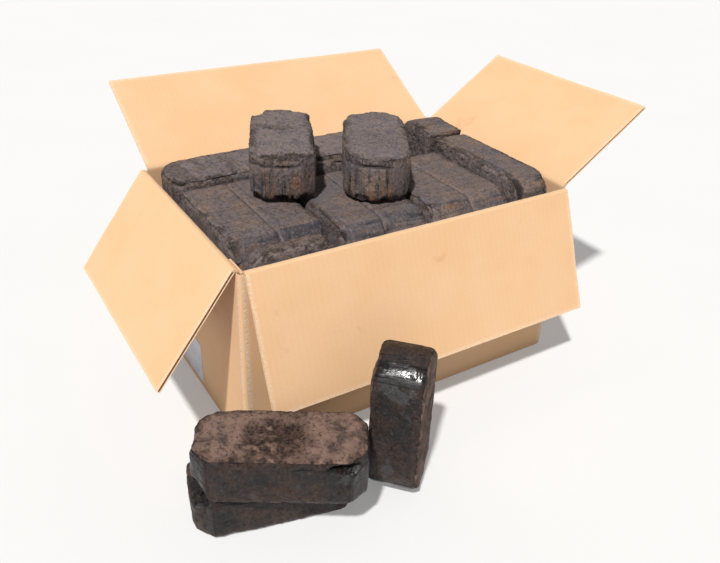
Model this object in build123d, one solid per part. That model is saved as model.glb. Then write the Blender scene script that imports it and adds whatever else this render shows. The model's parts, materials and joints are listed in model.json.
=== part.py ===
from build123d import *
import math
import os

# An opened corrugated carton packed with pressed fuel briquettes.
# Millimetres. Origin: centre of the carton's underside. +X along the front wall to the right,
# +Y from the front wall to the back wall, +Z up.

# ---- carton -------------------------------------------------------------------------------
CARTON_LENGTH = 470.0      # outside, along X
CARTON_DEPTH = 314.0       # outside, along Y
RIM_HEIGHT = 249.0         # top of the walls, where the top flaps are creased
BOARD = 4.0                # corrugated board
CREASE_GAP = 0.5           # between a wall's top and its flap's root
MAJOR_FLAP = 162.0         # front and back top flaps
MINOR_FLAP = 156.0         # left and right top flaps
SLOT = 6.0                 # cut away at each end of a top flap
FLAP_CORNER = 3.0          # clipped corners of a top flap
BOTTOM_MINOR = 157.0       # inner bottom flaps, from the end walls
SEAM_GAP = 1.0             # between the two outer bottom flaps
GLUE_TAB_WIDTH = 35.0
TAPE_WIDTH = 48.0
TAPE_THICKNESS = 0.3
LABEL_SIZE = (88.0, 62.0)  # along Y, along Z
LABEL_CENTRE = (29.0, 39.0)

# How far each top flap is laid back from upright, in degrees
FLAP_ANGLE = {"front": 158.0, "back": 61.3, "left": 143.0, "right": 56.0}

# ---- briquettes ---------------------------------------------------------------------------
LENGTH = 183.0             # seven-inch format
WIDTH = 84.0               # of the two press faces
THICK = 60.0               # between the press faces
CORNER = 20.0              # bevel on the four corners of a press face
EDGE = 2.5                 # worn edge round a press face
HALF_LENGTH = 90.0         # a broken half
BACK_SLAB = 24.0           # split slabs, thinner than a whole briquette
FRONT_SLAB = 25.0
INNER_SLAB = 18.0
SLAB_LENGTH = 120.0
REST_GAP = 0.4             # under a briquette that lifts off another

# ---- places worked out from the above -------------------------------------------------------
HALF_X = CARTON_LENGTH / 2
HALF_Y = CARTON_DEPTH / 2
INNER_X = HALF_X - BOARD
INNER_Y = HALF_Y - BOARD
FLOOR_INSIDE = 2 * BOARD                     # two thicknesses of bottom flaps
LAYER = [FLOOR_INSIDE + i * WIDTH for i in range(4)]
FLAT_LAYER = [FLOOR_INSIDE + i * THICK for i in range(4)]
LOAD_TOP = LAYER[3]


def block(x0, x1, y0, y1, z0, z1):
    """A box given by its limits."""
    centre = ((x0 + x1) / 2, (y0 + y1) / 2, (z0 + z1) / 2)
    return Pos(*centre) * Box(x1 - x0, y1 - y0, z1 - z0)


# ---- carton panels --------------------------------------------------------------------------
def wall(side):
    """Front and back walls run the full length; the end walls fit between them."""
    if side == "front":
        return block(-HALF_X, HALF_X, -HALF_Y, -INNER_Y, 0, RIM_HEIGHT)
    if side == "back":
        return block(-HALF_X, HALF_X, INNER_Y, HALF_Y, 0, RIM_HEIGHT)
    if side == "left":
        return block(-HALF_X, -INNER_X, -INNER_Y, INNER_Y, 0, RIM_HEIGHT)
    return block(INNER_X, HALF_X, -INNER_Y, INNER_Y, 0, RIM_HEIGHT)


def glue_tab():
    """The manufacturer's joint: a tab of the front panel glued inside the left wall."""
    top = RIM_HEIGHT - BOARD
    return block(-INNER_X, -INNER_X + BOARD, -INNER_Y, -INNER_Y + GLUE_TAB_WIDTH, FLOOR_INSIDE, top)


def outer_bottom_flap(direction):
    """Front (-1) or back (+1) bottom flap, with a shallow seat for the tape along the seam."""
    near, far = sorted((direction * SEAM_GAP / 2, direction * INNER_Y))
    flap = block(-INNER_X, INNER_X, near, far, 0, BOARD)
    seat = block(-INNER_X, INNER_X, -TAPE_WIDTH / 2, TAPE_WIDTH / 2, 0, TAPE_THICKNESS)
    return flap - seat


def inner_bottom_flap(direction):
    """Left (-1) or right (+1) bottom flap, folded in first and lying on the outer ones."""
    near, far = sorted((direction * (INNER_X - BOTTOM_MINOR), direction * INNER_X))
    return block(near, far, -INNER_Y, INNER_Y, BOARD, 2 * BOARD)


def bottom_tape():
    """Closes the seam; it lies flush in its seat, in the plane of the underside."""
    return block(-INNER_X, INNER_X, -TAPE_WIDTH / 2, TAPE_WIDTH / 2, 0, TAPE_THICKNESS)


def blank_label():
    """A plain paper label stuck on the left wall."""
    y, z = LABEL_CENTRE
    wide, high = LABEL_SIZE
    return block(-HALF_X - TAPE_THICKNESS, -HALF_X, y - wide / 2, y + wide / 2, z - high / 2, z + high / 2)


def top_flap(width, reach, angle, turn, hinge):
    """A flap hinged on its wall's outer top edge.

    It is drawn upright over a front wall, laid back by angle, turned to its own side
    about Z and moved to its hinge line.
    """
    outline = Rectangle(width - 2 * SLOT, reach - CREASE_GAP)
    far_corners = outline.vertices().group_by(Axis.Y)[-1]
    outline = chamfer(far_corners, FLAP_CORNER)
    panel = extrude(outline, BOARD)                       # lies in XY, thickness up +Z
    upright = Pos(0, BOARD, CREASE_GAP + (reach - CREASE_GAP) / 2) * Rot(90, 0, 0) * panel
    return Pos(*hinge) * Rot(0, 0, turn) * Rot(angle, 0, 0) * upright


def top_flaps():
    """The four flaps: name, solid."""
    rim = RIM_HEIGHT
    return {
        "top_flap_front": top_flap(CARTON_LENGTH, MAJOR_FLAP, FLAP_ANGLE["front"], 0, (0, -HALF_Y, rim)),
        "top_flap_right": top_flap(CARTON_DEPTH, MINOR_FLAP, FLAP_ANGLE["right"], 90, (HALF_X, 0, rim)),
        "top_flap_back": top_flap(CARTON_LENGTH, MAJOR_FLAP, FLAP_ANGLE["back"], 180, (0, HALF_Y, rim)),
        "top_flap_left": top_flap(CARTON_DEPTH, MINOR_FLAP, FLAP_ANGLE["left"], 270, (-HALF_X, 0, rim)),
    }


# ---- briquettes -----------------------------------------------------------------------------
def briquette(length=LENGTH, thick=THICK, broken=False):
    """Press face in XY, centred; a broken one has square corners at its +X end."""
    half_l = length / 2
    half_w = WIDTH / 2
    far_cut = EDGE if broken else CORNER
    outline = Polygon(
        (-half_l + CORNER, -half_w),
        (half_l - far_cut, -half_w),
        (half_l, -half_w + far_cut),
        (half_l, half_w - far_cut),
        (half_l - far_cut, half_w),
        (-half_l + CORNER, half_w),
        (-half_l, half_w - CORNER),
        (-half_l, -half_w + CORNER),
        align=None,
    )
    body = Pos(0, 0, -thick / 2) * extrude(outline, thick)
    faces = body.faces().sort_by(Axis.Z)
    return chamfer(faces[0].edges() + faces[-1].edges(), EDGE)


def lying_flat(x, y, z, heading, **size):
    """On a press face, its length along heading; z is its underside."""
    thick = size.get("thick", THICK)
    return Pos(x, y, z + thick / 2) * Rot(0, 0, heading) * briquette(**size)


def on_edge(x, y, z, heading, **size):
    """On a long side, press faces upright, its length along heading."""
    return Pos(x, y, z + WIDTH / 2) * Rot(0, 0, heading) * Rot(90, 0, 0) * briquette(**size)


def on_end(x, y, z, heading):
    """Standing on a short side; its thickness runs along heading."""
    return Pos(x, y, z + LENGTH / 2) * Rot(0, 0, heading) * Rot(0, 90, 0) * briquette()


def lower_layers():
    """Two layers on edge, then the flat stack and the upright pair at the right-hand end."""
    parts = {}
    columns = 6
    pitch = 61.8
    first = -INNER_X + BOARD + THICK / 2 + REST_GAP
    front_y = -INNER_Y + 0.5 + LENGTH / 2
    row_y = (front_y + LENGTH / 2 + 1 + THICK / 2, INNER_Y - 0.6 - THICK / 2)
    row_x = (-135.0, 49.0)
    for level in (1, 2):
        z = LAYER[level - 1]
        for i in range(columns):
            parts[f"layer{level}_column{i + 1}"] = on_edge(first + i * pitch, front_y, z, 90)
        for row, y in enumerate(row_y, 1):
            for i, x in enumerate(row_x, 1):
                parts[f"layer{level}_row{row}_{i}"] = on_edge(x, y, z, 0)
    stack_x = INNER_X - 0.7 - WIDTH / 2
    for level in (1, 2, 3):
        parts[f"right_stack_{level}"] = lying_flat(stack_x, front_y, FLAT_LAYER[level - 1], 90)
    for i, y in enumerate(row_y, 1):
        parts[f"upright_{i}"] = on_end(stack_x, y, FLOOR_INSIDE, 90)
    return parts


def top_layer():
    """The layer that shows, its loose pieces lifted by REST_GAP."""
    z = LAYER[2]
    loose = z + REST_GAP
    slab_z = z + BACK_SLAB
    stack_z = FLAT_LAYER[3] + REST_GAP              # on the flat stack at the right
    upright_z = FLOOR_INSIDE + LENGTH + REST_GAP    # on the two that stand on end
    tilt = 87.6                                     # the middle pair is packed a little askew
    return {
        "front_left_slab": on_edge(-166.5, -139.6, loose, 0, length=SLAB_LENGTH, thick=FRONT_SLAB),
        "left_outer": on_edge(-196.3, -33.5, loose, 90),
        "left_inner": on_edge(-135.5, -33.5, z, 90),
        "middle_left": on_edge(-71.0, -59.6, z, tilt),
        "middle_right": on_edge(-10.4, -59.6, z, tilt),
        "right_inner": on_edge(54.0, -61.0, z, 90),
        "right_outer": on_edge(114.6, -61.0, loose, 90),
        "right_proud": on_edge(180.0, -61.0, stack_z, 90, broken=True),
        "inner_slab": on_edge(-8.0, 49.5, z, 0, thick=INNER_SLAB),
        "back_left_slab": lying_flat(-133.5, 107.0, z, 0, thick=BACK_SLAB),
        "back_middle_slab": lying_flat(51.0, 107.0, z, 0, thick=BACK_SLAB),
        "back_left": lying_flat(-133.5, 107.0, slab_z, 0),
        "back_middle": lying_flat(51.0, 107.0, slab_z, 0),
        "back_right_half": on_edge(182.0, 80.5, upright_z, 266, length=HALF_LENGTH, broken=True),
    }


def on_the_load():
    """Two briquettes laid flat across the top of the load."""
    z = LOAD_TOP + REST_GAP
    return {
        "top_left": lying_flat(-91.5, 29.0, z, 64.4),
        "top_right": lying_flat(11.0, -29.0, z, 60.2),
    }


def in_front():
    """Three briquettes on the ground before the carton: one on end, two stacked."""
    return {
        "front_standing": on_end(-102.0, -276.5, 0, -47.7),
        "front_lower": lying_flat(-241.0, -236.0, 0, -13.5),
        "front_upper": lying_flat(-243.0, -265.0, THICK + REST_GAP, -31.0),
    }


def all_parts():
    parts = {f"{side}_wall": wall(side) for side in ("front", "back", "left", "right")}
    parts["glue_tab"] = glue_tab()
    parts["bottom_flap_front"] = outer_bottom_flap(-1)
    parts["bottom_flap_back"] = outer_bottom_flap(1)
    parts["bottom_flap_left"] = inner_bottom_flap(-1)
    parts["bottom_flap_right"] = inner_bottom_flap(1)
    parts["bottom_tape"] = bottom_tape()
    parts["blank_label"] = blank_label()
    for group in (top_flaps, lower_layers, top_layer, on_the_load, in_front):
        parts.update(group())
    return parts


os.makedirs("parts", exist_ok=True)
for name, solid in all_parts().items():
    export_step(solid, f"parts/{name}.step")
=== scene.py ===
"""Looks for the carton of fuel briquettes: corrugated board with real liners and flutes,
rough pressed briquettes, plain pale floor and soft studio light. Metres, in the CAD frame."""

import itertools
import json
import math

import bmesh
import bpy
import numpy as np
from mathutils import Matrix, Vector


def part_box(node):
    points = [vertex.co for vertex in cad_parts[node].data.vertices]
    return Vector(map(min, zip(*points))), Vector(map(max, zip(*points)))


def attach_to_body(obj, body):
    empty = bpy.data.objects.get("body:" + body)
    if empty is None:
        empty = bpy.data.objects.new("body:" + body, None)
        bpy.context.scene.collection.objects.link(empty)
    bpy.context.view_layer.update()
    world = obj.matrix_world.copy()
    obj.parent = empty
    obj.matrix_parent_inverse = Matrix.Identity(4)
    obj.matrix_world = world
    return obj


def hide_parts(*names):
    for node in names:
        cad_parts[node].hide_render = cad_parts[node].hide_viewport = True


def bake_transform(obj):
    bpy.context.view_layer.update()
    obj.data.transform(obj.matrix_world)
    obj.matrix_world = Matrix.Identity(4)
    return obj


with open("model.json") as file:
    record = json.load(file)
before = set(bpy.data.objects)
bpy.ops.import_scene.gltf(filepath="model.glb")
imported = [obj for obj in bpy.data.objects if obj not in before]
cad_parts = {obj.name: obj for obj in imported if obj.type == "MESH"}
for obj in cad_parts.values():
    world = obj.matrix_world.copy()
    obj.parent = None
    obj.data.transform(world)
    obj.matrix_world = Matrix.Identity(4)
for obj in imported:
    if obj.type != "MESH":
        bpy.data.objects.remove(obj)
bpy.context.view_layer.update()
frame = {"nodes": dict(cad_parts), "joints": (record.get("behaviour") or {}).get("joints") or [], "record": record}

MM = 0.001
UP = np.array((0.0, 0.0, 1.0))

# ---- camera and light -----------------------------------------------------------------------
CAMERA_PLACE = (-0.4879, -0.7817, 0.6379)
CAMERA_AZIMUTH = -32.74       # angles in degrees; 0 looks along +y
CAMERA_ELEVATION = 30.7
CAMERA_ROLL = 2.16
CAMERA_LENS = 37.4
SUN_FROM = (-0.43, -0.37, 0.825)
SUN_STRENGTH = 4.9
SUN_SOFTNESS = 3.0
SUN_COLOUR = (1.0, 0.985, 0.96)
SKY_STRENGTH = 0.26
HORIZON_STRENGTH = 0.75       # the sky is paler low down, like a white studio wall
HORIZON_TOP = 0.1             # heights on the unit sphere between which the sky darkens
SKY_FOOT = 0.4
FLOOR_HALF = 12.0
FLOOR_GREYS = (0.46, 0.48)
FLOOR_GLOW = 0.22             # a little light of its own keeps the shadows on the floor soft
WHITE = (1.0, 1.0, 1.0, 1.0)

# ---- corrugated board -----------------------------------------------------------------------
LINER = 0.4 * MM
FLUTE_SHEET = 0.3 * MM
FLUTE_PITCH = 7.5 * MM
BOARD = 4 * MM
FLUTE_INSET = 0.6 * MM        # the fluted sheet ends this far inside the liners' edges
CREASE_REACH = 3 * MM         # a crease takes this much of the board on each side of the fold
CREASE_GRAIN = 10 * MM        # the crease's grain runs over this much from wall to flap
CREASE_STEPS = 13             # points of the bend, from wall to flap
FLAP_BOW = 1.2 * MM           # a flap is out of flat by this much
CELL = 6 * MM                 # mesh cell of a liner
SHARP_EDGE = math.radians(40)

# ---- briquettes -----------------------------------------------------------------------------
FINE_VOXEL = 1.1 * MM
COARSE_VOXEL = 1.5 * MM
CORNER_CUT = 20 * MM          # the bevelled corners of a press face
BROKEN_RADIUS = 5 * MM        # a broken end is nearly square in outline
SEAM_PROUD = 1.5 * MM         # a press face in a pair is pushed out this far, up to its CAD face
FIRST_SEED = 11               # of the first briquette's patterns; the next ones follow by this step
SEED_STEP = 7


# ---- Repeatable noise, worked out on arrays of points ---------------------------------------
CELL_FACTORS = (374761393, 668265263, 1442695041)      # large odd numbers, which scatter the cells
SEED_FACTOR = 974634777
MIX_FACTOR = 1274126177
LOW_32_BITS = 0xFFFFFFFF
LOW_16_BITS = 0xFFFF


def cell_value(cell, seed):
    """A value from -1 to 1 for each whole-numbered cell."""
    mixed = seed * SEED_FACTOR + sum(cell[:, k] * factor for k, factor in enumerate(CELL_FACTORS))
    mixed = mixed & LOW_32_BITS
    mixed = ((mixed ^ (mixed >> 13)) * MIX_FACTOR) & LOW_32_BITS
    return 2 * ((mixed ^ (mixed >> 16)) & LOW_16_BITS) / LOW_16_BITS - 1


def noise(points, size, seed):
    """Smooth value noise from -1 to 1; size is the width of a cell, one number or three."""
    scaled = points / np.asarray(size, float)
    cell = np.floor(scaled).astype(np.int64)
    part = scaled - cell
    part = part * part * (3 - 2 * part)
    total = np.zeros(len(points))
    for corner in itertools.product((0, 1), repeat=3):
        weight = np.prod(np.where(corner, part, 1 - part), axis=1)
        total += weight * cell_value(cell + np.array(corner), seed)
    return total


def fractal(points, size, seed, octaves=3):
    """Noise summed over octaves, each half as wide and half as strong."""
    total = np.zeros(len(points))
    for k in range(octaves):
        total += noise(points, np.asarray(size, float) / 2**k, seed + 17 * k) / 2**k
    return total / (2 - 0.5 ** (octaves - 1))


def smooth(low, high, value):
    """0 below low, 1 above high, and smooth between."""
    t = np.clip((value - low) / (high - low), 0, 1)
    return t * t * (3 - 2 * t)


# ---- Mesh and node helpers ------------------------------------------------------------------
def new_mesh_object(name, points, faces, material, attributes=()):
    """A mesh object from arrays, with smooth shading and named per-point attributes."""
    mesh = bpy.data.meshes.new(name)
    mesh.from_pydata(np.asarray(points).tolist(), [], faces)
    for attribute, values in dict(attributes).items():
        add_attribute(mesh, attribute, values)
    mesh.polygons.foreach_set("use_smooth", [True] * len(mesh.polygons))
    mesh.materials.append(material)
    piece = bpy.data.objects.new(name, mesh)
    bpy.context.scene.collection.objects.link(piece)
    return piece


def add_attribute(mesh, name, values):
    """One number or one vector for each point of the mesh."""
    values = np.asarray(values, np.float32)
    if values.ndim == 1:
        mesh.attributes.new(name, "FLOAT", "POINT").data.foreach_set("value", values)
    else:
        mesh.attributes.new(name, "FLOAT_VECTOR", "POINT").data.foreach_set("vector", values.ravel())


def face_outward(mesh):
    """Turns every face of the closed shells outward, and keeps their edges sharp."""
    edit = bmesh.new()
    edit.from_mesh(mesh)
    bmesh.ops.recalc_face_normals(edit, faces=edit.faces)
    edit.to_mesh(mesh)
    edit.free()
    mesh.set_sharp_from_angle(angle=SHARP_EDGE)


def vectors_of(elements, name):
    """One vector for each vertex or face of a mesh, such as its place or its normal."""
    values = np.empty(len(elements) * 3, np.float32)
    elements.foreach_get(name, values)
    return values.reshape(-1, 3).astype(float)


def points_of(mesh):
    """The places of a mesh's vertices."""
    return vectors_of(mesh.vertices, "co")


class Shells:
    """Collects closed thin shells, each between two grids of points, into one mesh.

    Each point has a place, a grain (its coordinates along the board) and a core share,
    which is 1 on the fluted sheet and 0 on the liners.
    """

    def __init__(self):
        self.points = []
        self.grain = []
        self.core = []
        self.faces = []
        self.count = 0

    def add(self, under, over, grain_under, grain_over, core=0.0):
        """under and over are grids (rows, columns, 3), over on the side that faces out."""
        rows, columns = under.shape[:2]
        index = np.arange(rows * columns).reshape(rows, columns)
        low = self.count + index
        high = low + rows * columns
        self.faces += self.cells(high)
        for a, b, c, d in self.cells(low):
            self.faces.append((d, c, b, a))
        for lower, upper in self.borders(low, high):
            for i in range(len(lower) - 1):
                self.faces.append((lower[i], lower[i + 1], upper[i + 1], upper[i]))
        self.points += [under.reshape(-1, 3), over.reshape(-1, 3)]
        self.grain += [grain_under.reshape(-1, 3), grain_over.reshape(-1, 3)]
        self.core.append(np.full(2 * rows * columns, core))
        self.count += 2 * rows * columns

    @staticmethod
    def cells(index):
        """The four corners of each cell of a grid."""
        a, b = index[:-1, :-1], index[:-1, 1:]
        c, d = index[1:, 1:], index[1:, :-1]
        return zip(a.ravel().tolist(), b.ravel().tolist(), c.ravel().tolist(), d.ravel().tolist())

    @staticmethod
    def borders(low, high):
        """The four edges of the two grids, in pairs."""
        sides = [(low[::-1, 0], high[::-1, 0]), (low[:, -1], high[:, -1])]
        sides += [(low[0, :], high[0, :]), (low[-1, ::-1], high[-1, ::-1])]
        return [(a.tolist(), b.tolist()) for a, b in sides]

    def build(self, name, material, scuff_and_highlight):
        """The mesh object; scuff gives the pale wear of each point from its grain, which on folds is also a
        painted highlight.
        """
        grain = np.vstack(self.grain)
        attributes = {"grain": grain, "core": np.concatenate(self.core), "scuff_and_highlight": scuff_and_highlight(grain)}
        piece = new_mesh_object(name, np.vstack(self.points), self.faces, material, attributes)
        face_outward(piece.data)
        return piece


class Graph:
    """Short calls for a material's nodes."""

    def __init__(self, name):
        self.material = bpy.data.materials.new(name)
        self.material.use_nodes = True
        self.tree = self.material.node_tree
        self.shader = self.tree.nodes["Principled BSDF"]

    def node(self, kind, settings=(), **inputs):
        """A node with its settings and its inputs, each a number or another node's output."""
        made = self.tree.nodes.new(kind)
        for key, value in dict(settings).items():
            setattr(made, key, value)
        for key, value in inputs.items():
            self.put(made.inputs[key.replace("_", " ")], value)
        return made

    def put(self, socket, value):
        if isinstance(value, bpy.types.NodeSocket):
            self.tree.links.new(value, socket)
        else:
            socket.default_value = value

    def place(self):
        """Coordinates in the piece's own frame."""
        return self.node("ShaderNodeTexCoord").outputs["Object"]

    def attribute(self, name, vector=False):
        made = self.node("ShaderNodeAttribute", {"attribute_name": name})
        return made.outputs["Vector" if vector else "Fac"]

    def math(self, operation, a, b=0.0, clamp=False):
        made = self.node("ShaderNodeMath", {"operation": operation, "use_clamp": clamp})
        self.put(made.inputs[0], a)
        self.put(made.inputs[1], b)
        return made.outputs[0]

    def times(self, a, b):
        return self.math("MULTIPLY", a, b)

    def mapped(self, vector, scale):
        return self.node("ShaderNodeMapping", Vector=vector, Scale=scale).outputs[0]

    def noise(self, vector, scale, detail=4.0, roughness=0.6, distortion=0.0):
        made = self.node(
            "ShaderNodeTexNoise",
            Vector=vector, Scale=scale, Detail=detail, Roughness=roughness, Distortion=distortion,
        )
        return made.outputs["Fac"]

    def ramp(self, value, low, high, start=0.0, end=1.0):
        """Smooth step of value from low to high, giving start to end."""
        made = self.node("ShaderNodeMapRange", {"interpolation_type": "SMOOTHSTEP"}, Value=value)
        for key, number in (("From Min", low), ("From Max", high), ("To Min", start), ("To Max", end)):
            made.inputs[key].default_value = number
        return made.outputs["Result"]

    def lerp(self, factor, first, second):
        """A number between first and second."""
        made = self.node("ShaderNodeMix", {"data_type": "FLOAT"})
        numbers = [s for s in made.inputs if s.type == "VALUE"]
        for socket, value in zip(numbers, (factor, first, second)):
            self.put(socket, value)
        return made.outputs[0]

    def mix(self, factor, first, second):
        """A colour between first and second."""
        made = self.node("ShaderNodeMix", {"data_type": "RGBA", "clamp_result": True})
        self.put(made.inputs["Factor"], factor)
        for socket, value in (("A", first), ("B", second)):
            target = [s for s in made.inputs if s.name == socket and s.type == "RGBA"][0]
            self.put(target, value)
        return [s for s in made.outputs if s.type == "RGBA"][0]

    def bump(self, height, strength, distance):
        made = self.node("ShaderNodeBump", Height=height, Strength=strength, Distance=distance)
        return made.outputs["Normal"]

    def finish(self, colour, roughness, normal):
        """The finished material."""
        self.put(self.shader.inputs["Base Color"], colour)
        self.put(self.shader.inputs["Roughness"], roughness)
        self.put(self.shader.inputs["Normal"], normal)
        return self.material


# ---- A part's own axes ----------------------------------------------------------------------
NEARLY_PARALLEL = 0.9999      # cosines between the directions of two faces
NEARLY_SQUARE = 0.01


class Place:
    """The axes of a block or panel, read from its CAD node: 0 along it, 1 across, 2 through it."""

    def __init__(self, node, hints):
        mesh = frame["nodes"][node].data
        normals = vectors_of(mesh.polygons, "normal")
        areas = np.empty(len(mesh.polygons), np.float32)
        mesh.polygons.foreach_get("area", areas)
        through = self.widest(normals, areas)
        beside = np.abs(normals @ through) < NEARLY_SQUARE
        across = self.widest(normals[beside], areas[beside])
        axes = np.array((np.cross(across, through), across, through))
        signs = np.sign(np.sum(axes * np.asarray(hints(axes)), axis=1))
        self.axes = axes * signs[:, None]
        local = points_of(mesh) @ self.axes.T
        self.centre = (local.max(0) + local.min(0)) / 2 @ self.axes
        self.half = (local.max(0) - local.min(0)) / 2

    @staticmethod
    def widest(normals, areas):
        """The direction that the largest area faces, counting both of its sides."""
        alike = np.abs(normals @ normals.T) > NEARLY_PARALLEL
        return normals[np.argmax(alike @ areas)]

    def local(self, points):
        return (points - self.centre) @ self.axes.T

    def world(self, points):
        return points @ self.axes + self.centre


def block_hints(axes):
    """A briquette's axes point up, or to the front and left."""
    front_left = np.array((-0.6, -0.8, 0.0))
    return [UP if abs(axis[2]) > 0.5 else front_left for axis in axes]


# ---- Briquettes -----------------------------------------------------------------------------
def remeshed(node, place, voxel):
    """The CAD block in its own axes, as an even mesh fine enough to sculpt."""
    mesh = frame["nodes"][node].data.copy()
    mesh.vertices.foreach_set("co", place.local(points_of(mesh)).astype(np.float32).ravel())
    mesh.update()
    holder = bpy.data.objects.new(node + "_holder", mesh)
    bpy.context.scene.collection.objects.link(holder)
    weld = holder.modifiers.new("weld", "WELD")
    weld.merge_threshold = 0.01 * MM
    grid = holder.modifiers.new("grid", "REMESH")
    grid.mode = "VOXEL"
    grid.voxel_size = voxel
    soft = holder.modifiers.new("soft", "SMOOTH")
    soft.factor = 0.5
    soft.iterations = 4
    depsgraph = bpy.context.evaluated_depsgraph_get()
    made = bpy.data.meshes.new_from_object(holder.evaluated_get(depsgraph))
    bpy.data.objects.remove(holder)
    bpy.data.meshes.remove(mesh)
    return made


class Sculpt:
    """Moves a block's points inward to break, chip and wear it. Local axes, metres.

    Polish is the strength of the shine on the bevelled corners, and broken says which end
    is broken off square: 1 or -1, or 0 for none. Each pattern has its own offset to the
    seed, so that no two patterns are alike.
    """

    def __init__(self, mesh, place, seed, polish, broken):
        self.p = points_of(mesh)
        self.n = vectors_of(mesh.vertices, "normal")
        self.half = place.half
        self.seed = seed
        a, b, c = self.half
        u, v, w = np.abs(self.p.T)
        cut = min(CORNER_CUT, b)
        self.at_break = self.p[:, 0] * broken > 0
        bevel = np.where(self.at_break, a, (a + b - cut - u - v) / math.sqrt(2))
        self.side_depth = np.maximum(np.minimum(np.minimum(a - u, b - v), bevel), 0)
        self.press_depth = c - w
        self.side = 1 - smooth(1 * MM, 3.5 * MM, self.side_depth)
        self.near_end = 1 - smooth(2 * MM, 16 * MM, a - u)
        self.press = smooth(0.55, 0.85, np.abs(self.n[:, 2]))
        self.end = smooth(0.5, 0.85, np.abs(self.n[:, 0]))
        self.bevel = polish * self.polished()
        self.stretch = 1 / np.maximum(np.abs(self.n[:, 2]), np.hypot(self.n[:, 0], self.n[:, 1]))
        self.shift = np.zeros_like(self.p)
        self.painted_hollow_shade = np.zeros(len(self.p))
        self.crumb = np.zeros(len(self.p))

    def field(self, size_mm, offset, octaves=3):
        """A pattern from -1 to 1 over the block, with features of this size."""
        return fractal(self.p, np.asarray(size_mm, float) * MM, self.seed + offset, octaves)

    def inward(self, depth, dark=0.0):
        """Depth in metres for each point; dark says how much painted shade the hollow gets.

        Edge points go further, along their slanting normals, so that edges stay edges.
        """
        self.shift -= self.n * (depth * self.stretch)[:, None]
        # Painted shade: the deeper a hollow is cut, the darker it is painted.
        self.painted_hollow_shade = np.maximum(self.painted_hollow_shade, np.clip(dark * depth / (2 * MM), 0, 1))

    def warp(self, amount):
        """The block as a whole is a little out of true."""
        for axis in range(3):
            self.shift[:, axis] += amount * noise(self.p, 70 * MM, self.seed + 101 + axis)

    def round_plan(self, radius):
        """Rounds the bevelled corners of the outline; a broken end stays nearly square."""
        radius = np.where(self.at_break, BROKEN_RADIUS, radius)
        beyond = np.maximum(np.abs(self.p[:, :2]) - self.half[:2] + radius[:, None], 0)
        reach = np.hypot(*beyond.T)
        spare = np.maximum(reach + self.side_depth - radius, 0) * (1 - smooth(0, 14 * MM, self.side_depth))
        away = beyond / np.maximum(reach, 1e-9)[:, None] * np.sign(self.p[:, :2])
        self.shift[:, :2] -= away * spare[:, None]

    def worn_edges(self, amount, tight):
        """Rounds and chips where a press face meets the sides; a tight face adjoins a neighbour."""
        edge = 1 - smooth(0, 9 * MM, self.side_depth + self.press_depth)
        if tight:
            edge = np.where(self.p[:, 2] * tight > 0, 0.0, edge)
        chips = 0.35 + smooth(-0.15, 0.75, self.field(16, 7))
        crumbs = 0.5 + 0.5 * self.field(4, 9, 2)
        self.inward(amount * edge * (chips + 0.45 * crumbs), 0.1)
        band = 1 - smooth(2 * MM, 15 * MM, self.side_depth + self.press_depth + 5 * MM * self.field(18, 5, 2))
        open_side = self.p[:, 2] * tight <= 0
        self.crumb = band * smooth(-0.35, 0.25, self.field(7, 8, 3)) * open_side

    def corners(self, amount):
        """Knocks pieces off the ends' corners."""
        reach = np.hypot(self.half[0] - np.abs(self.p[:, 0]), self.press_depth)
        near = 1 - smooth(4 * MM, 20 * MM, reach)
        self.inward(amount * near * smooth(0.05, 0.6, self.field(24, 13)), 0.3)

    def lip(self, depth):
        """The crack that runs round under the upper press face, where the top layer lifts."""
        below = 12 * MM
        wander = 4 * MM * self.field(26, 21, 2)
        distance = np.abs(self.half[2] - self.p[:, 2] - below - wander)
        groove = (1 - smooth(0.5 * MM, 2.6 * MM, distance)) * self.side
        strength = smooth(-0.45, 0.2, self.field(38, 23, 2))
        self.inward(depth * groove * strength, 1.2)
        above = smooth(0, 3 * MM, self.p[:, 2] - self.half[2] + below + wander) * self.side
        self.inward(0.6 * depth * above * (0.5 + self.field(6, 25, 3)), 0.2)

    def ribs(self, amount):
        """Drawn marks that run up from the lower press face, strongest on the ends."""
        wander = 0.5 * self.field((14, 14, 60), 33, 2)
        lower = 1 - smooth(-0.45, 0.35, self.p[:, 2] / self.half[2] + wander)
        ridges = 0.5 + 0.5 * self.field((5.5, 5.5, 45), 31, 3)
        self.inward(amount * self.side * (0.2 + 0.8 * self.near_end) * (0.1 + 0.9 * lower) * ridges, 0.35)
        self.end *= 0.3 + 0.7 * lower

    def pits(self, amount):
        """Small hollows all over, and cracks where a broad pattern crosses zero."""
        small = smooth(0.18, 0.6, self.field(5, 41, 3))
        self.inward(amount * small * (1 - 0.8 * self.bevel), 0.8)
        line = 1 - smooth(0.0, 0.035, np.abs(self.field(45, 43, 3)))
        where = smooth(0.0, 0.4, self.field(60, 47, 2))
        self.inward(0.9 * amount * line * where, 0.7)

    def rough(self, amount):
        """Grain that stands in and out of the surface."""
        self.inward(amount * (0.5 + 0.5 * self.field(3.4, 51, 2)) * (1 - 0.8 * self.bevel), 0.25)
        self.inward(1.3 * amount * (0.5 + 0.5 * self.field(11, 53, 2)) * (1 - 0.6 * self.bevel))

    def bands(self, amount):
        """Crumbly bands across the upper press face."""
        ripple = 11 * MM * self.field(30, 65, 3)
        along = np.column_stack((self.p[:, 0] + ripple, self.p[:, 1] / 6, 0 * ripple))
        band = fractal(along, 20 * MM, self.seed + 61, 2)
        across = smooth(0.0, 0.3, band) * self.press
        crumbs = 0.55 + 0.45 * self.field(4, 63, 2)
        self.inward(amount * across * crumbs, 0.35)
        self.crumb = np.maximum(self.crumb, across * min(amount / (2.5 * MM), 1))

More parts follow.
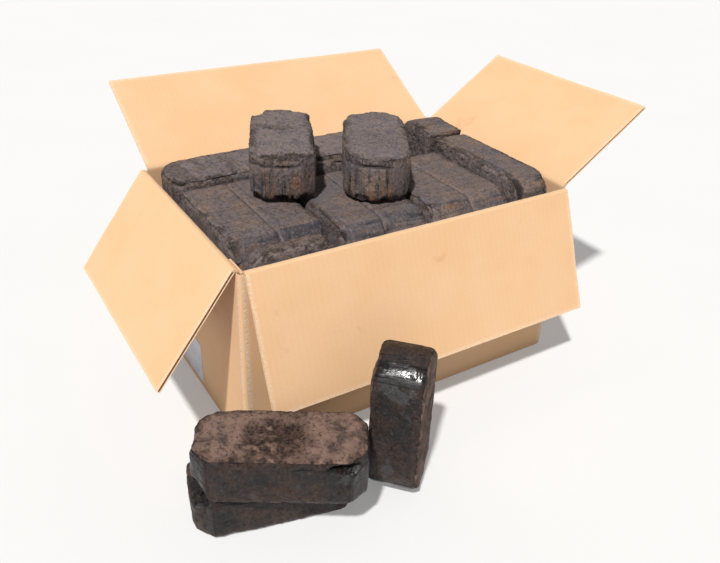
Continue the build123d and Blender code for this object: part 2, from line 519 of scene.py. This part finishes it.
    def bite(self, at, radius, depth, dark=0.5):
        """A piece broken out; at is in shares of the half sizes."""
        distance = np.linalg.norm((self.p - np.array(at) * self.half) / (np.array(radius) * MM), axis=1)
        uneven = distance + 0.3 * self.field(12, 71, 3)
        hole = 1 - smooth(0.55, 1.05, uneven)
        self.inward(depth * MM * hole * (0.85 + 0.35 * self.field(5, 73, 2)), dark)
        self.crumb = np.maximum(self.crumb, hole * smooth(-0.6, 0.0, self.field(6, 75, 2)))
        self.bevel = self.bevel * (1 - hole)

    def ragged_foot(self, amount):
        """The lower edge at the near end is broken away here and there."""
        low = 1 - smooth(0, 14 * MM, self.p[:, 2] + self.half[2])
        near = smooth(0.5, 0.9, self.p[:, 0] / self.half[0])
        notch = smooth(-0.1, 0.35, self.field((8, 8, 60), 81, 2))
        self.shift[:, 2] += amount * low * near * notch
        self.shift[:, 0] -= amount * low * near * (0.4 + 0.5 * notch)
        foot = 1 - smooth(1 * MM, 6 * MM, self.p[:, 2] + self.half[2])
        self.shift[:, 0] -= 0.5 * amount * foot * near

    def close_seam(self, tight):
        """The press face next to a neighbour stays out at its CAD face, so that no gap opens."""
        near = 1 - smooth(0.5 * MM, 4 * MM, self.half[2] - self.p[:, 2] * tight)
        self.shift[:, 2] += near * (SEAM_PROUD * tight - self.shift[:, 2])

    def polished(self):
        """The sloping corners of the outline, where the press polishes the skin; they are smoother and get a
        painted sheen colour.
        """
        slope = np.abs(self.n[:, 0] * self.n[:, 1])
        return smooth(0.1, 0.38, slope) * smooth(-0.7, 0.0, self.field(30, 91, 3))

    def apply(self, mesh, place):
        """Puts the points in place, never outside the CAD block."""
        moved = np.clip(self.p + self.shift, -self.half, self.half)
        mesh.vertices.foreach_set("co", place.world(moved).astype(np.float32).ravel())
        mesh.update()


# What each look starts from. Depths and radii are in millimetres; tight is the side of the
# block that adjoins its pair, 1 or -1; a bite is its place, radii, depth and painted shade.
USUAL_LOOK = {
    "round": 30.0, "warp": 1.0, "edges": 3.2, "corners": 4.0, "lip": 0.5, "ribs": 1.6, "pits": 0.9,
    "bands": 1.0, "rough": 0.9, "foot": 0.0, "polish": 0.4, "tight": 0, "broken": 0, "bites": (),
}
# What the sculpting leaves for the material: where the block has press faces, ends, polished
# bevels that get a painted sheen, crumbling parts, and hollows that get painted shade.
WEAR_PATTERNS = ("press", "end", "bevel", "crumb", "painted_hollow_shade")
GRAIN_SHIFT = 0.37            # metres between the material patterns of two seeds


def worn(mesh, place, seed, look):
    """The block's wear, worked out but not yet applied to the mesh."""
    look = {**USUAL_LOOK, **look}
    sculpt = Sculpt(mesh, place, seed, look["polish"], look["broken"])
    sculpt.round_plan(look["round"] * MM)
    sculpt.warp(look["warp"] * MM)
    sculpt.worn_edges(look["edges"] * MM, look["tight"])
    sculpt.corners(look["corners"] * MM)
    sculpt.lip(look["lip"] * MM)
    sculpt.ribs(look["ribs"] * MM)
    sculpt.pits(look["pits"] * MM)
    sculpt.bands(look["bands"] * MM)
    for bite in look["bites"]:
        sculpt.bite(*bite)
    sculpt.rough(look["rough"] * MM)
    sculpt.ragged_foot(look["foot"] * MM)
    if look["tight"]:
        sculpt.close_seam(look["tight"])
    return sculpt


def briquette(node, body, seed, material, voxel, look):
    """A worn briquette in the place of its CAD node."""
    place = Place(node, block_hints)
    mesh = remeshed(node, place, voxel)
    sculpt = worn(mesh, place, seed, look)
    add_attribute(mesh, "grain", sculpt.p + seed * GRAIN_SHIFT)
    for pattern in WEAR_PATTERNS:
        add_attribute(mesh, pattern, getattr(sculpt, pattern))
    sculpt.apply(mesh, place)
    mesh.polygons.foreach_set("use_smooth", [True] * len(mesh.polygons))
    mesh.materials.clear()
    mesh.materials.append(material)
    mesh.name = node + "_worn"
    piece = bpy.data.objects.new(node + "_worn", mesh)
    bpy.context.scene.collection.objects.link(piece)
    attach(piece, body, node)


def attach(piece, body, node):
    """The piece moves with a body and stands for a CAD node, which is hidden."""
    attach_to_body(piece, body)
    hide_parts(node)


# ---- Corrugated board -----------------------------------------------------------------------
class Board:
    """Two liners and the fluted sheet between them, laid along a wall or a flap.

    point(s, r, depth) gives the world place: s across the flutes, r along them,
    depth from the outer face.
    """

    def __init__(self, point, columns, reach, seed):
        self.point = point
        self.columns = columns
        self.reach = reach
        self.seed = seed

    def grid(self, columns, rows, depth):
        """World places and grain of one surface; depth is one number, or one for each column."""
        r, s = np.meshgrid(rows, columns, indexing="ij")
        places = self.point(s.ravel(), r.ravel(), np.broadcast_to(depth, s.shape).ravel())
        side = np.full(s.size, self.seed + np.mean(depth) / BOARD)
        grain = np.column_stack((s.ravel(), r.ravel(), side))
        return places.reshape(*s.shape, 3), grain.reshape(*s.shape, 3)

    def build(self, name, material, scuff_and_highlight):
        """The board as one mesh object."""
        shells = Shells()
        rows = steps(*self.reach, CELL)
        for near, far in ((0, LINER), (BOARD - LINER, BOARD)):
            outer, outer_grain = self.grid(self.columns, rows, near)
            inner, inner_grain = self.grid(self.columns, rows, far)
            shells.add(inner, outer, inner_grain, outer_grain)
        self.add_flutes(shells)
        return shells.build(name, material, scuff_and_highlight)

    def add_flutes(self, shells):
        """The wavy sheet between the liners, open to view at the cut edges."""
        columns = steps(self.columns[0] + FLUTE_INSET, self.columns[-1] - FLUTE_INSET, FLUTE_PITCH / 8)
        rows = steps(self.reach[0] + FLUTE_INSET, self.reach[1] - FLUTE_INSET, 5 * CELL)
        swing = BOARD / 2 - LINER - FLUTE_SHEET / 2
        wave = BOARD / 2 + swing * np.sin(2 * math.pi * columns / FLUTE_PITCH)
        outer, outer_grain = self.grid(columns, rows, wave - FLUTE_SHEET / 2)
        inner, inner_grain = self.grid(columns, rows, wave + FLUTE_SHEET / 2)
        shells.add(inner, outer, inner_grain, outer_grain, core=1.0)


def steps(low, high, cell):
    """Even steps from low to high, about a cell apart."""
    return np.linspace(low, high, max(2, round((high - low) / cell) + 1))


class Side:
    """One side of the carton: its wall, and the top flap that is hinged on it."""

    def __init__(self, name, seed):
        joint = next(j for j in frame["joints"] if j["name"] == name + "_flap_hinge")
        self.name = name
        self.seed = seed
        self.hinge = np.array(joint["pos_m"])
        self.outward = self.hinge * (1, 1, 0) / np.hypot(*self.hinge[:2])
        self.along = np.cross(UP, self.outward)
        corner = np.array((*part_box("front_wall")[1][:1], *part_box("back_wall")[1][1:2], 0.0))
        self.straight = abs(corner @ self.along) - BOARD
        flap = Place("top_flap_" + name, self.flap_hints)
        self.away = flap.axes[1]
        self.face = flap.axes[2]
        self.flap_width = flap.half[0]
        self.flap_reach = (flap.centre - self.hinge) @ self.away + flap.half[1]
        self.angle = math.atan2(self.away @ self.outward, self.away[2])

    def flap_hints(self, axes):
        """Along the side, away from the hinge, and from the middle to the outer face."""
        flap_centre = points_of(frame["nodes"]["top_flap_" + self.name].data).mean(0)
        return [self.along, flap_centre - self.hinge, self.hinge - flap_centre]

    def wall_point(self, s, r, depth):
        """Round half of each corner, so that neighbouring walls meet on the diagonal."""
        flat = np.clip(s, -self.straight, self.straight)
        turn = ((s - flat) / BOARD)[:, None]
        spot = self.hinge * (1, 1, 0) - self.outward * BOARD + flat[:, None] * self.along
        radius = (BOARD - depth)[:, None]
        spot = spot + radius * (np.cos(turn) * self.outward + np.sin(turn) * self.along)
        return spot + r[:, None] * UP

    def flap_point(self, s, r, depth):
        """A flat flap that bows a little, away from its crease."""
        uneven = fractal(np.column_stack((s, r, 0 * s)), 110 * MM, self.seed, 2)
        bow = FLAP_BOW * uneven * smooth(0, 60 * MM, r)
        spot = self.hinge + s[:, None] * self.along + r[:, None] * self.away
        return spot - (depth + bow)[:, None] * self.face

    def wall(self, material):
        """The wall's board, pale along its two corner folds: scuffed, and a painted highlight where the folds
        catch the light.
        """
        arc = math.pi / 4 * BOARD
        ends = steps(self.straight, self.straight + arc, 0.6 * MM)
        columns = np.unique(np.concatenate((-ends, steps(-self.straight, self.straight, CELL), ends)))
        board = Board(self.wall_point, columns, (0, self.hinge[2] - CREASE_REACH), self.seed)

        # Whitish lines on the corner folds: wear, and a painted highlight where the folds catch the light.
        def scuff_and_highlight(grain):
            fold = np.abs(np.abs(grain[:, 0]) - self.straight)
            return 0.9 * (1 - smooth(0.1 * MM, 1.2 * MM, fold))
        piece = board.build(self.name + "_wall_board", material, scuff_and_highlight)
        attach(piece, "carton", self.name + "_wall")

    def flap(self, material):
        """The flap's board from its crease to its far edge, scuffed along its cut edges."""
        columns = steps(-self.flap_width, self.flap_width, CELL)
        board = Board(self.flap_point, columns, (CREASE_REACH, self.flap_reach), self.seed + 10)

        def scuff_and_highlight(grain):
            edge = np.minimum(self.flap_width - np.abs(grain[:, 0]), self.flap_reach - grain[:, 1])
            return 0.55 * (1 - smooth(0, 2 * MM, edge))
        piece = board.build(self.name + "_flap_board", material, scuff_and_highlight)
        attach(piece, "top_flap_" + self.name, "top_flap_" + self.name)

    def crease_faces(self, share):
        """The outer and the inner line of the bend, each as distances outward and up."""
        turn = np.array((math.sin(self.angle), math.cos(self.angle)))
        rise = np.array((0.0, 1.0))
        inward = np.array((-turn[1], turn[0]))
        wall_end = (-BOARD, -CREASE_REACH)
        flap_end = CREASE_REACH * turn + BOARD * inward
        handle = 0.42 * math.dist(wall_end, flap_end)
        outer = bezier((0, -CREASE_REACH), rise, CREASE_REACH * turn, turn, 0.8 * CREASE_REACH, share)
        inner = bezier(wall_end, rise, flap_end, turn, handle, share)
        return outer, inner

    def crease_grid(self, face, swell, s, share):
        """World places and grain of one face of the bend, crushed unevenly along the fold."""
        seed = self.seed + 20
        along = np.repeat(s, len(share))
        across = np.tile(share, len(s)) * CREASE_GRAIN
        spots = np.column_stack((along, across, 0 * along))
        crush = swell * fractal(spots, 12 * MM, seed, 2).reshape(len(s), -1) * np.sin(math.pi * share)
        outward = face[:, 0] + crush * math.sin(self.angle) * 0.3
        up = face[:, 1] + crush
        places = self.hinge + s[:, None, None] * self.along
        places = places + outward[..., None] * self.outward + up[..., None] * UP
        return places, (spots + (0, 0, seed)).reshape(len(s), -1, 3)

    def crease(self, material):
        """Crushed board that bends between the wall and the flap."""
        share = np.linspace(0, 1, CREASE_STEPS)
        s = steps(-self.flap_width, self.flap_width, 3 * MM)
        outer, inner = self.crease_faces(share)
        under, under_grain = self.crease_grid(outer, 0.1 * MM, s, share)
        over, over_grain = self.crease_grid(inner, 0.35 * MM, s, share)
        shells = Shells()
        shells.add(under, over, under_grain, over_grain)
        # The whitish line on the bend: torn fibres, and a painted highlight where the fold catches the light;
        # strongest on the front crease.
        wear = 1 if self.name == "front" else 0.35

        def scuff_and_highlight(grain):
            return wear * (1 - smooth(0.02, 0.2, np.abs(grain[:, 1] / CREASE_GRAIN - 0.42)))
        piece = shells.build(self.name + "_crease", material, scuff_and_highlight)
        lean = math.sin(self.angle / 2) * self.outward + math.cos(self.angle / 2) * UP
        reach = CREASE_REACH * math.cos(self.angle / 2)
        start, end = self.hinge - reach * lean, self.hinge + reach * lean
        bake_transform(piece)
        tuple(start)
        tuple(end)


def bezier(start, leave, end, arrive, handle, share):
    """A curve from start to end that leaves and arrives in the given directions."""
    t = share[:, None]
    a, d = np.asarray(start), np.asarray(end)
    b, c = a + handle * np.asarray(leave), d - handle * np.asarray(arrive)
    return (1 - t) ** 3 * a + 3 * (1 - t) ** 2 * t * b + 3 * (1 - t) * t**2 * c + t**3 * d


# ---- Materials ------------------------------------------------------------------------------
LIT = 1.5                     # a lit surface looks about this many times as bright as its own colour


def linear(level):
    """A screen level from 0 to 255, turned into the linear value that shaders take."""
    level = level / 255
    return level / 12.92 if level <= 0.04045 else ((level + 0.055) / 1.055) ** 2.4


def seen(red, green, blue):
    """The colour of a surface that looks like this on screen under the scene's light."""
    return tuple(linear(level) / LIT for level in (red, green, blue)) + (1.0,)


def board_material(name, grained):
    """Kraft board: flute lines, fibres, mottling, whitish scuffs on folds that are partly a painted highlight,
    brown cut edges.

    A grained piece carries its own coordinates and wear; the CAD parts have neither.
    """
    g = Graph(name)
    grain = g.attribute("grain", vector=True) if grained else g.place()
    across = g.node("ShaderNodeSeparateXYZ", Vector=grain).outputs["X"]
    wave = g.math("SINE", g.times(across, 2 * math.pi / FLUTE_PITCH))
    patches = g.noise(grain, 9.0, 3.0)
    fibres = g.noise(g.mapped(grain, (1400.0, 350.0, 1.0)), 1.0, 3.0)
    specks = g.noise(grain, 1300.0, 2.0)
    stains = g.noise(grain, 17.0, 5.0, 0.6, 0.4)
    colour = g.mix(g.ramp(patches, 0.32, 0.7), seen(247, 204, 161), seen(244, 198, 151))
    colour = g.mix(g.times(g.ramp(fibres, 0.4, 0.72), 0.22), colour, seen(222, 168, 118))
    colour = g.mix(g.times(g.ramp(specks, 0.63, 0.75), 0.35), colour, seen(186, 132, 84))
    colour = g.mix(g.ramp(wave, -1.0, 1.0, 0.0, 0.035), colour, seen(205, 160, 110))
    colour = g.mix(g.times(g.ramp(stains, 0.64, 0.76), 0.34), colour, seen(205, 140, 98))
    if grained:
        flakes = g.ramp(g.noise(grain, 330.0, 4.0, 0.7), 0.38, 0.62)
        scuff_and_highlight_share = g.math("MULTIPLY", g.attribute("scuff_and_highlight"), flakes, clamp=True)
        # Whitish scuffs: wear, and on the folds a painted highlight.
        colour = g.mix(scuff_and_highlight_share, colour, seen(255, 244, 226))
        colour = g.mix(g.times(g.attribute("core"), 0.75), colour, seen(196, 146, 96))
    height = g.math("ADD", g.times(wave, 0.07), g.times(fibres, 0.4))
    height = g.math("ADD", height, patches)
    g.shader.inputs["Specular IOR Level"].default_value = 0.25
    return g.finish(colour, g.ramp(patches, 0.3, 0.7, 0.72, 0.85), g.bump(height, 0.35, 0.25 * MM))


def paper_material():
    """Bluish-white label paper, faintly creased and smudged."""
    g = Graph("label_paper")
    place = g.place()
    clouds = g.noise(place, 60.0, 4.0)
    colour = g.mix(g.ramp(clouds, 0.35, 0.7), seen(232, 233, 240), seen(206, 211, 228))
    return g.finish(colour, g.ramp(clouds, 0.3, 0.7, 0.4, 0.55), g.bump(g.noise(place, 300.0), 0.2, 0.2 * MM))


def tape_material():
    """Brown packing tape with fine lengthwise lines."""
    g = Graph("packing_tape")
    place = g.place()
    lines = g.noise(g.mapped(place, (8.0, 900.0, 1.0)), 1.0, 3.0)
    colour = g.mix(g.ramp(lines, 0.3, 0.7), seen(206, 164, 112), seen(186, 142, 92))
    g.shader.inputs["Coat Weight"].default_value = 0.4
    return g.finish(colour, g.ramp(lines, 0.3, 0.7, 0.22, 0.34), g.bump(lines, 0.15, 0.1 * MM))


# Tones of the two briquette finishes; the sheen colour is a painted reflection on the polished bevels, and dark
# also paints the shade on the ends, in hollows and in shadow streaks.
DUSTY = {
    "base": seen(124, 111, 108), "warm": seen(140, 118, 106), "cool": seen(102, 98, 106),
    "dark": seen(40, 35, 34), "streak": seen(176, 116, 62), "light": seen(180, 164, 152),
    "press": seen(140, 126, 124), "crumb": seen(88, 71, 62), "painted_sheen": seen(60, 58, 68),
    "chip": seen(112, 110, 118),
    "press_rough": (0.6, 0.9), "side_rough": (0.5, 0.85), "sheen_rough": (0.45, 0.7),
}
FRESH = {
    "base": seen(30, 25, 23), "warm": seen(70, 48, 37), "cool": seen(36, 37, 41),
    "dark": seen(14, 12, 12), "streak": seen(80, 54, 42), "light": seen(112, 100, 94),
    "press": seen(160, 129, 115), "crumb": seen(86, 58, 46), "painted_sheen": seen(30, 29, 30),
    "chip": seen(78, 80, 84),
    "press_rough": (0.75, 0.95), "side_rough": (0.3, 0.6), "sheen_rough": (0.16, 0.45),
}


def briquette_material(name, tone):
    """Pressed fuel: mottled brown-grey, streaked ends, polished bevels with a painted sheen, cracks and hollows in
    painted shade, painted shade on the ends, pale grit.
    """
    g = Graph(name)
    wear = {pattern: g.attribute(pattern) for pattern in WEAR_PATTERNS}
    wear["side"] = g.math("SUBTRACT", 1.0, wear["press"])
    grain = g.attribute("grain", vector=True)
    patterns = {
        "broad": g.noise(grain, 26.0, 5.0, 0.62, 0.3),
        "patch": g.noise(grain, 52.0, 4.0, 0.6, 0.2),
        "chips": g.noise(grain, 31.0, 3.0, 0.5, 0.2),
        "fine": g.noise(grain, 330.0, 6.0, 0.75),
        "grit": g.noise(grain, 1100.0, 2.0, 0.6),
        "drawn": g.noise(g.mapped(grain, (160.0, 160.0, 15.0)), 1.0, 5.0, 0.65, 0.3),
    }
    colour = mottled(g, wear, patterns, tone)
    colour = streaked(g, colour, wear, patterns, tone)
    colour = gritty(g, colour, wear, patterns, tone)
    g.shader.inputs["Specular IOR Level"].default_value = 0.32
    return g.finish(colour, briquette_gloss(g, wear, patterns, tone), briquette_bump(g, wear, patterns))


def mottled(g, wear, patterns, tone):
    """The body colour: warm and cool patches, paler press faces, smooth chips, dark crumbling."""
    colour = g.mix(g.ramp(patterns["broad"], 0.38, 0.62), tone["base"], tone["warm"])
    colour = g.mix(g.times(wear["press"], 0.85), colour, tone["press"])
    colour = g.mix(g.times(g.ramp(patterns["patch"], 0.46, 0.68), 0.7), colour, tone["cool"])
    chips = g.ramp(patterns["chips"], 0.6, 0.63, 0.0, 0.5)
    colour = g.mix(g.times(chips, wear["side"]), colour, tone["chip"])
    colour = g.mix(g.times(wear["crumb"], 0.8), colour, tone["crumb"])
    holes = g.ramp(patterns["fine"], 0.56, 0.42, 0.0, 0.8)
    return g.mix(g.times(wear["crumb"], holes), colour, tone["dark"])


def streaked(g, colour, wear, patterns, tone):
    """Rusty streaks on the ends, dark streaks painted as shadows along the drawn marks, painted shade on the ends,
    and a painted sheen on the polished bevels.
    """
    streaks = g.times(g.ramp(patterns["drawn"], 0.52, 0.61), g.ramp(patterns["broad"], 0.36, 0.58, 0.15, 1.0))
    colour = g.mix(g.times(streaks, wear["end"]), colour, tone["streak"])
    # Painted shadow streaks along the drawn marks, strongest on the ends.
    shadows = g.times(g.ramp(patterns["drawn"], 0.49, 0.38), g.math("ADD", wear["end"], 0.25, clamp=True))
    colour = g.mix(g.times(shadows, wear["side"]), colour, tone["dark"])
    # Painted shade: the ends are darkened a little all over.
    colour = g.mix(g.times(wear["end"], 0.28), colour, tone["dark"])
    # Painted sheen: a dark reflection colour painted on the polished bevels.
    return g.mix(g.times(wear["bevel"], 0.85), colour, tone["painted_sheen"])


def gritty(g, colour, wear, patterns, tone):
    """Fine dark pits and pale grains over everything, and painted shade in the hollows."""
    colour = g.mix(g.ramp(patterns["fine"], 0.5, 0.34, 0.0, 0.85), colour, tone["dark"])
    colour = g.mix(g.ramp(patterns["fine"], 0.54, 0.7, 0.0, 0.5), colour, tone["light"])
    colour = g.mix(g.ramp(patterns["grit"], 0.66, 0.74, 0.0, 0.6), colour, tone["light"])
    # Painted shade in the carved hollows and cracks.
    return g.mix(g.times(wear["painted_hollow_shade"], 0.85), colour, tone["dark"])


def briquette_bump(g, wear, patterns):
    """Grain, grit and drawn ribs, deepest where it crumbles and faint on the polished bevels."""
    height = g.math("ADD", patterns["fine"], g.times(patterns["grit"], 0.3))
    height = g.math("ADD", height, g.times(g.times(patterns["drawn"], wear["end"]), 0.8))
    return g.bump(height, g.lerp(wear["bevel"], 1.0, 0.1), g.lerp(wear["crumb"], 1.6 * MM, 3.2 * MM))


def briquette_gloss(g, wear, patterns, tone):
    """Matt press faces, smoother sides, and bevels that shine in streaks."""
    press = g.ramp(patterns["patch"], 0.35, 0.65, *tone["press_rough"])
    side = g.ramp(patterns["patch"], 0.35, 0.65, *tone["side_rough"])
    polished = g.ramp(patterns["drawn"], 0.42, 0.6, *tone["sheen_rough"])
    return g.lerp(wear["bevel"], g.lerp(wear["side"], press, side), polished)


def hidden_briquette_material():
    """For whole briquettes below the top layer, which only show through gaps."""
    g = Graph("briquette_below")
    place = g.place()
    broad = g.noise(place, 30.0, 5.0, 0.65, 0.5)
    fine = g.noise(place, 420.0, 5.0, 0.7)
    colour = g.mix(g.ramp(broad, 0.4, 0.62), DUSTY["base"], DUSTY["cool"])
    colour = g.mix(g.ramp(fine, 0.5, 0.3, 0.0, 0.8), colour, DUSTY["dark"])
    return g.finish(colour, g.ramp(broad, 0.3, 0.7, 0.6, 0.9), g.bump(fine, 0.8, 1 * MM))


def floor_material():
    """Plain pale floor, only just uneven."""
    g = Graph("pale_floor")
    clouds = g.noise(g.place(), 3.0, 2.0)
    dark, light = ((grey, grey, grey, 1.0) for grey in FLOOR_GREYS)
    colour = g.mix(clouds, dark, light)
    g.shader.inputs["Emission Color"].default_value = WHITE
    g.shader.inputs["Emission Strength"].default_value = FLOOR_GLOW
    return g.finish(colour, 0.9, g.bump(clouds, 0.02, 1 * MM))


# ---- The pieces -----------------------------------------------------------------------------
SIDES = ("front", "right", "back", "left")


def make_carton():
    """Walls, top flaps and creases of real board; the rest of the carton keeps its CAD shape."""
    board = board_material("kraft_board", True)
    for seed, name in enumerate(SIDES):
        side = Side(name, seed)
        side.wall(board)
        side.flap(board)
        side.crease(board)
    plain = board_material("kraft_board_plain", False)
    dress("glue_tab", plain)
    for name in SIDES:
        dress("bottom_flap_" + name, plain)
    dress("blank_label", paper_material())
    dress("bottom_tape", tape_material())


def dress(node, material):
    """A CAD node that stays gets a better material."""
    slots = frame["nodes"][node].data.materials
    slots.clear()
    slots.append(material)


# Looks, as in USUAL_LOOK: the layer that shows, the two on the load and the three in front.
TOP_LAYER = {
    "front_left_slab": {
        "edges": 1.2, "corners": 1.5, "warp": 0.5, "round": 22.0, "rough": 0.8, "polish": 0.0,
    },
    "left_outer": {
        "edges": 4.5, "tight": -1, "round": 24.0, "polish": 0.9,
        "bites": [((1.0, 0.9, 0.8), (24, 12, 12), 5)],
    },
    "left_inner": {
        "edges": 3.6, "tight": 1, "round": 24.0, "polish": 1.0,
        "bites": [((1.0, 0.95, -0.9), (14, 16, 10), 7)],
    },
    "middle_left": {
        "edges": 4.0, "tight": -1, "round": 24.0, "polish": 0.6,
        "bites": [((0.98, 0.9, 0.9), (16, 12, 12), 7), ((0.3, 1.0, 0.9), (26, 8, 7), 4)],
    },
    "middle_right": {"edges": 2.6, "tight": 1, "round": 24.0, "polish": 0.6},
    "right_inner": {"edges": 3.0, "tight": -1, "round": 24.0},
    "right_outer": {"edges": 2.4, "tight": 1, "pits": 0.7, "round": 24.0},
    "right_proud": {
        "edges": 5.0, "pits": 1.2, "rough": 1.5, "round": 34.0, "lip": 1.5, "polish": 0.1,
        "broken": -1,
        "bites": [((0.9, 0.6, 0.7), (14, 30, 8), 4, 1.0)],
    },
    "inner_slab": {"edges": 3.0},
    "back_left": {"edges": 4.5, "round": 40.0, "bites": [((0.96, 0.9, 0.95), (20, 20, 12), 7)]},
    "back_middle": {"edges": 4.2},
    "back_right_half": {"edges": 3.5, "corners": 2.0, "pits": 1.4, "rough": 1.4, "polish": 0.1, "broken": 1},
}
ON_THE_LOAD = {
    "top_left": {
        "edges": 3.6, "corners": 5.0, "lip": 3.4, "ribs": 3.2, "bands": 2.8, "foot": 7.0, "pits": 1.3,
        "rough": 1.3,
        "bites": [
            ((-0.9, 0.8, 1.0), (20, 14, 14), 6), ((0.25, -1.0, 0.95), (40, 9, 12), 3),
            ((-0.55, -1.0, 0.9), (16, 10, 12), 4),
        ],
    },
    "top_right": {
        "edges": 3.4, "lip": 3.2, "ribs": 2.2, "bands": 0.3, "foot": 6.0, "rough": 1.3, "round": 42.0,
        "bites": [((-1.0, 0.6, 0.95), (14, 18, 14), 5)],
    },
}
IN_FRONT = {
    "front_standing": {
        "edges": 3.0, "corners": 3.0, "lip": 0.6, "ribs": 0.8, "bands": 0.8, "rough": 0.8, "round": 46.0,
        "polish": 1.0,
        "bites": [((-0.2, 1.0, 0.2), (20, 10, 12), 2), ((-1.0, 0.9, 0.9), (16, 14, 14), 7)],
    },
    "front_upper": {
        "edges": 4.4, "corners": 3.0, "lip": 1.8, "ribs": 0.8, "bands": 0.9, "rough": 1.3, "polish": 0.7,
        "bites": [
            ((-0.80, 1.0, 0.62), (24, 14, 7.5), 16, 1.2), ((0.05, 0.1, 1.0), (40, 34, 6), 2.6, 0.05),
            ((1.0, 0.7, -0.8), (26, 20, 20), 9),
        ],
    },
    "front_lower": {
        "edges": 4.0, "corners": 6.0, "lip": 1.2, "ribs": 0.8, "rough": 0.9, "polish": 0.7,
        "bites": [((0.95, 0.5, 0.95), (32, 26, 18), 13, 0.8), ((1.0, 1.0, 0.3), (16, 14, 20), 6)],
    },
}
# Nodes whose names start like this lie below and keep their CAD shape.
BELOW = ("layer", "right_stack", "upright", "back_left_slab", "back_middle_slab")


def bodies_of_nodes():
    """The body that each node belongs to."""
    bodies = frame["record"]["behaviour"]["bodies"]
    return {node: body for body, nodes in bodies.items() for node in nodes}


def make_briquettes():
    """Worn briquettes where they show, and a plain finish on those below."""
    body_of = bodies_of_nodes()
    dusty = briquette_material("briquette_dusty", DUSTY)
    fresh = briquette_material("briquette_fresh", FRESH)
    seeds = itertools.count(FIRST_SEED, SEED_STEP)
    groups = (
        (TOP_LAYER, dusty, COARSE_VOXEL),
        (ON_THE_LOAD, dusty, FINE_VOXEL),
        (IN_FRONT, fresh, FINE_VOXEL),
    )
    for group, material, voxel in groups:
        for node, look in group.items():
            briquette(node, body_of[node], next(seeds), material, voxel, look)
    below = hidden_briquette_material()
    for node in sorted(body_of):
        if node.startswith(BELOW):
            dress(node, below)


# ---- Stage, light and camera ----------------------------------------------------------------
def make_stage():
    """A wide flat floor."""
    corners = [(x * FLOOR_HALF, y * FLOOR_HALF, 0) for x, y in ((-1, -1), (1, -1), (1, 1), (-1, 1))]
    floor = new_mesh_object("floor", corners, [(0, 1, 2, 3)], floor_material())


def make_sky():
    """White light from all round, stronger near the horizon."""
    world = bpy.data.worlds.new("studio")
    world.use_nodes = True
    tree = world.node_tree
    height = tree.nodes.new("ShaderNodeSeparateXYZ")
    tree.links.new(tree.nodes.new("ShaderNodeTexCoord").outputs["Generated"], height.inputs[0])
    fade = tree.nodes.new("ShaderNodeMapRange")
    fade.interpolation_type = "SMOOTHSTEP"
    fade.inputs["From Min"].default_value = HORIZON_TOP
    fade.inputs["From Max"].default_value = SKY_FOOT
    fade.inputs["To Min"].default_value = HORIZON_STRENGTH
    fade.inputs["To Max"].default_value = SKY_STRENGTH
    tree.links.new(height.outputs["Z"], fade.inputs["Value"])
    background = tree.nodes["Background"]
    background.inputs["Color"].default_value = WHITE
    tree.links.new(fade.outputs["Result"], background.inputs["Strength"])
    bpy.context.scene.world = world


def make_sun():
    """The key light, from the front left and above."""
    sun = bpy.data.lights.new("key", "SUN")
    sun.energy = SUN_STRENGTH
    sun.angle = math.radians(SUN_SOFTNESS)
    sun.color = SUN_COLOUR
    lamp = bpy.data.objects.new("key", sun)
    lamp.rotation_euler = Vector(SUN_FROM).to_track_quat("Z", "Y").to_euler()
    bpy.context.scene.collection.objects.link(lamp)


def make_camera():
    """Looks back along its azimuth and down by its elevation, turned a little about its view."""
    azimuth, elevation, roll = (math.radians(a) for a in (CAMERA_AZIMUTH, CAMERA_ELEVATION, CAMERA_ROLL))
    back = Vector((
        math.sin(azimuth) * math.cos(elevation), -math.cos(azimuth) * math.cos(elevation), math.sin(elevation)
    ))
    right = (-back).cross(Vector(UP)).normalized()
    top = right.cross(-back)
    side = math.cos(roll) * right + math.sin(roll) * top
    top = math.cos(roll) * top - math.sin(roll) * right
    camera = bpy.data.objects.new("camera", bpy.data.cameras.new("camera"))
    camera.matrix_world = Matrix.Translation(CAMERA_PLACE) @ Matrix((side, top, back)).transposed().to_4x4()
    camera.data.lens = CAMERA_LENS
    camera.data.clip_start = 0.01
    bpy.context.scene.collection.objects.link(camera)
    bpy.context.scene.camera = camera
    bpy.context.scene.view_settings.view_transform = "Standard"


make_camera()
make_sky()
make_sun()
make_stage()
make_carton()
make_briquettes()
bpy.context.view_layer.update()
